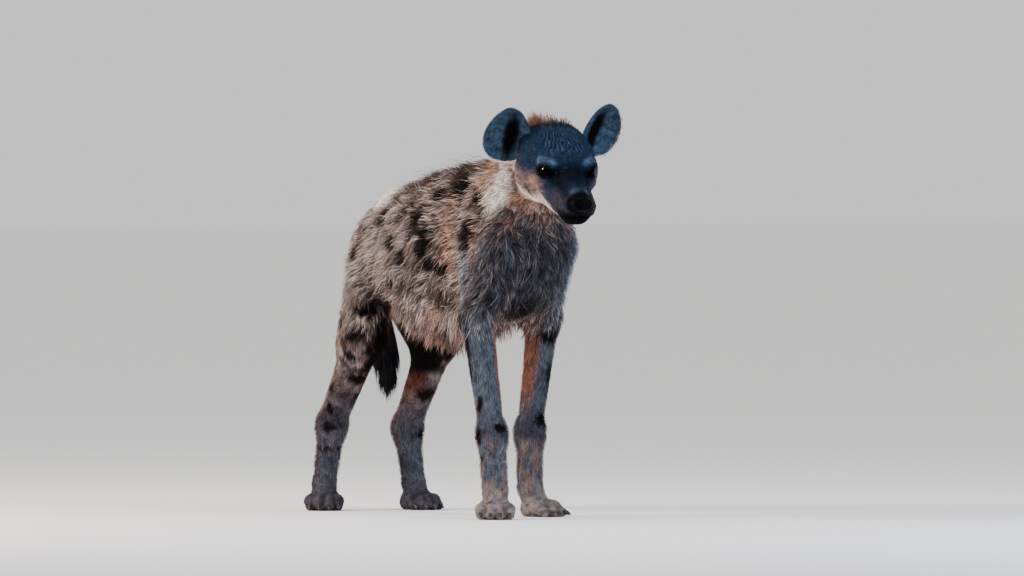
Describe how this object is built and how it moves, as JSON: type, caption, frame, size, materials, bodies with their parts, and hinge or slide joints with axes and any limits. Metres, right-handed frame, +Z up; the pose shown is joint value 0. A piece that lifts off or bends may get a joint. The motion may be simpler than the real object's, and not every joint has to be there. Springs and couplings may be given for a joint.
{
  "type": "spotted hyena",
  "caption": "Life-size standing spotted hyena with round cupped ears, a strong neck, a back that slopes to low hips, a hanging tail brush and clawed feet that rest flat.",
  "frame": {"origin": "bottom centre of the whole animal's box, on the floor", "axes": "+X towards the head, +Y to the animal's left, +Z up"},
  "size_m": [1.1679, 0.3343, 0.8999],
  "materials": {
    "face": "short dense fur over skin",
    "body_coat": "shaggy coarse fur with dark spots",
    "neck_coat": "shaggy pale fur",
    "leg_coat": "short fur with dark spots",
    "tail_hair": "long black hair",
    "nose_skin": "damp",
    "eye": "wet and clear",
    "claw": "worn horn"
  },
  "bodies": {
    "root": {"chest": "body_coat", "belly": "body_coat", "rump": "body_coat", "neck": "neck_coat", "tail_dock": "body_coat", "tail_brush": "tail_hair", "nose_pad": "nose_skin", "eye_left": "eye", "eye_right": "eye", "lower_jaw": "face", "ear_left": "face", "ear_right": "face", "head": "face", "shoulder_left": "body_coat", "forearm_left": "leg_coat", "fore_foot_left": "leg_coat", "claw_fore_left_1": "claw", "claw_fore_left_2": "claw", "claw_fore_left_3": "claw", "claw_fore_left_4": "claw", "shoulder_right": "body_coat", "forearm_right": "leg_coat", "fore_foot_right": "leg_coat", "claw_fore_right_1": "claw", "claw_fore_right_2": "claw", "claw_fore_right_3": "claw", "claw_fore_right_4": "claw", "thigh_left": "body_coat", "shank_left": "leg_coat", "hind_foot_left": "leg_coat", "claw_hind_left_1": "claw", "claw_hind_left_2": "claw", "claw_hind_left_3": "claw", "claw_hind_left_4": "claw", "thigh_right": "body_coat", "shank_right": "leg_coat", "hind_foot_right": "leg_coat", "claw_hind_right_1": "claw", "claw_hind_right_2": "claw", "claw_hind_right_3": "claw", "claw_hind_right_4": "claw"}
  },
  "joints": []
}
